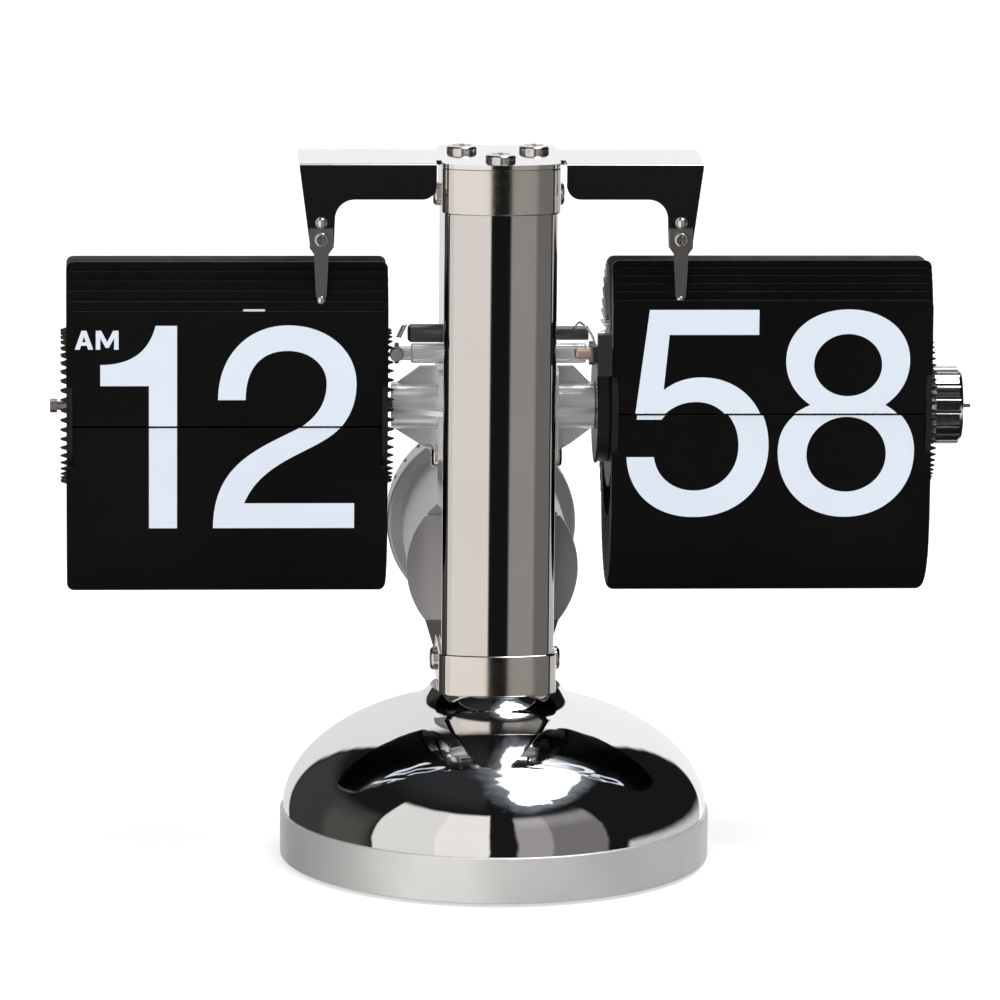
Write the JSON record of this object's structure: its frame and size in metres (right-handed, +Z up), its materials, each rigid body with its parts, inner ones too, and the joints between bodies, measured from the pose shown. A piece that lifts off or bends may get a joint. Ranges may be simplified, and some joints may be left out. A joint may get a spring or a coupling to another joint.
{
  "type": "flip number clock",
  "caption": "Desk clock with two turning drums of hinged black number flaps, for hours and minutes, hung either side of a bright pillar on a domed weighted base.",
  "frame": {"origin": "centre of the foot pad's underside, on the round base's axis, on the surface the clock stands on", "axes": "+Z up, front of the clock faces -Y, +X to the viewer's right along the drums' axle towards the setting knob"},
  "size_m": [0.2095, 0.131, 0.1633],
  "materials": {
    "mirror_chrome": "mirror polished plate",
    "pillar_chrome": "mirror polished plate",
    "collar_chrome": "polished plate",
    "bracket_chrome": "polished plate",
    "satin_steel": "satin",
    "black_paint": "semi gloss",
    "foot_rubber": "matte",
    "cast_weight": "as cast",
    "screw_steel": "zinc plated",
    "screw_chrome": "polished",
    "alloy": "satin die casting",
    "bush_brass": "turned",
    "axle_steel": "ground",
    "drum_plastic": "fine matte",
    "flap_black": "satin sheet",
    "gear_brass": "cut",
    "knob_chrome": "polished and fluted",
    "retainer_steel": "satin",
    "board": "solder mask",
    "sleeve_steel": "turned",
    "grey_tube": "satin grey",
    "black_lever": "moulded",
    "copper_pin": "copper plated",
    "barrel_silver": "silver satin",
    "cell_jacket": "printed jacket, plain",
    "contact_nickel": "nickel plated"
  },
  "bodies": {
    "frame": {"arbor_bushes": "bush_brass", "axle": "axle_steel", "barrel_cradle": "grey_tube", "barrel_flange": "barrel_silver", "barrel_ring": "barrel_silver", "barrel_tube": "barrel_silver", "base_dome": "mirror_chrome", "base_plate": "black_paint", "base_plate_screws": "screw_steel", "base_rim": "satin_steel", "base_weight": "cast_weight", "battery_cell": "cell_jacket", "boss_left": "alloy", "boss_right": "alloy", "bottom_collar": "collar_chrome", "circuit_board": "board", "cross_tube": "grey_tube", "foot_block": "alloy", "foot_pad": "foot_rubber", "front_contact": "contact_nickel", "hour_fanned_flaps": "flap_black", "hour_hanging_flaps": "flap_black", "hour_lower_flap": "flap_black", "minute_fanned_flaps": "flap_black", "minute_hanging_flaps": "flap_black", "minute_lower_flap": "flap_black", "motor": "alloy", "movement_plates": "gear_brass", "movement_posts": "screw_steel", "pillar_back": "satin_steel", "pillar_bolt": "screw_steel", "pillar_shell": "pillar_chrome", "retainer_screws": "screw_chrome", "retainers": "retainer_steel", "rocker_sleeve": "sleeve_steel", "side_screws": "screw_chrome", "spacer_tube": "screw_steel", "top_block": "alloy", "top_bracket": "bracket_chrome", "top_collar": "collar_chrome", "top_screws": "screw_chrome"},
    "minute_drum": {"minute_drum_discs": "drum_plastic", "minute_drum_core": "axle_steel", "cam_wheel": "drum_plastic", "knob": "knob_chrome"},
    "hour_drum": {"hour_drum_discs": "drum_plastic", "hour_drum_core": "axle_steel", "hour_gear": "gear_brass"},
    "lay_gear": {"lay_shaft": "axle_steel", "lay_wheel": "gear_brass"},
    "motor_gear": {"motor_pinion": "gear_brass"},
    "minute_flap": {"minute_upper_flap": "flap_black"},
    "hour_flap": {"hour_upper_flap": "flap_black"},
    "rocker": {"rocker_shaft": "sleeve_steel", "catch_arm": "black_lever", "follower_arm": "black_lever", "follower_pin": "copper_pin"},
    "battery_lid": {"battery_cap": "barrel_silver", "rear_contact": "contact_nickel"}
  },
  "joints": [
    {"name": "minute_turn", "type": "hinge", "parent": "frame", "child": "minute_drum", "pos_m": [0, 0.005, 0.104], "axis": [1, 0, 0], "continuous": true},
    {"name": "hour_turn", "type": "hinge", "parent": "frame", "child": "hour_drum", "pos_m": [0, 0.005, 0.104], "axis": [1, 0, 0], "continuous": true},
    {"name": "lay_gear_turn", "type": "hinge", "parent": "frame", "child": "lay_gear", "pos_m": [0, 0.005, 0.09212], "axis": [1, 0, 0], "continuous": true},
    {"name": "motor_turn", "type": "hinge", "parent": "frame", "child": "motor_gear", "pos_m": [0, 0.005, 0.08057], "axis": [1, 0, 0], "continuous": true},
    {"name": "minute_flap_fall", "type": "hinge", "parent": "frame", "child": "minute_flap", "pos_m": [0.0614, -0.01251, 0.10601], "axis": [1, 0, 0], "range_deg": [0, 180]},
    {"name": "hour_flap_fall", "type": "hinge", "parent": "frame", "child": "hour_flap", "pos_m": [-0.0614, -0.01227, 0.1034], "axis": [1, 0, 0], "range_deg": [0, 180]},
    {"name": "rocker_lift", "type": "hinge", "parent": "frame", "child": "rocker", "pos_m": [0, 0.002, 0.1166], "axis": [1, 0, 0], "range_deg": [-12, 0]},
    {"name": "battery_cap_turn", "type": "hinge", "parent": "frame", "child": "battery_lid", "pos_m": [0, 0.078, 0.0638], "axis": [0, 1, 0], "range_deg": [0, 45]}
  ],
  "couplings": [
    {"joint": "hour_turn", "follows": "minute_turn", "ratio": 0.041667},
    {"joint": "lay_gear_turn", "follows": "minute_turn", "ratio": -0.2},
    {"joint": "motor_turn", "follows": "minute_turn", "ratio": 1.2}
  ]
}
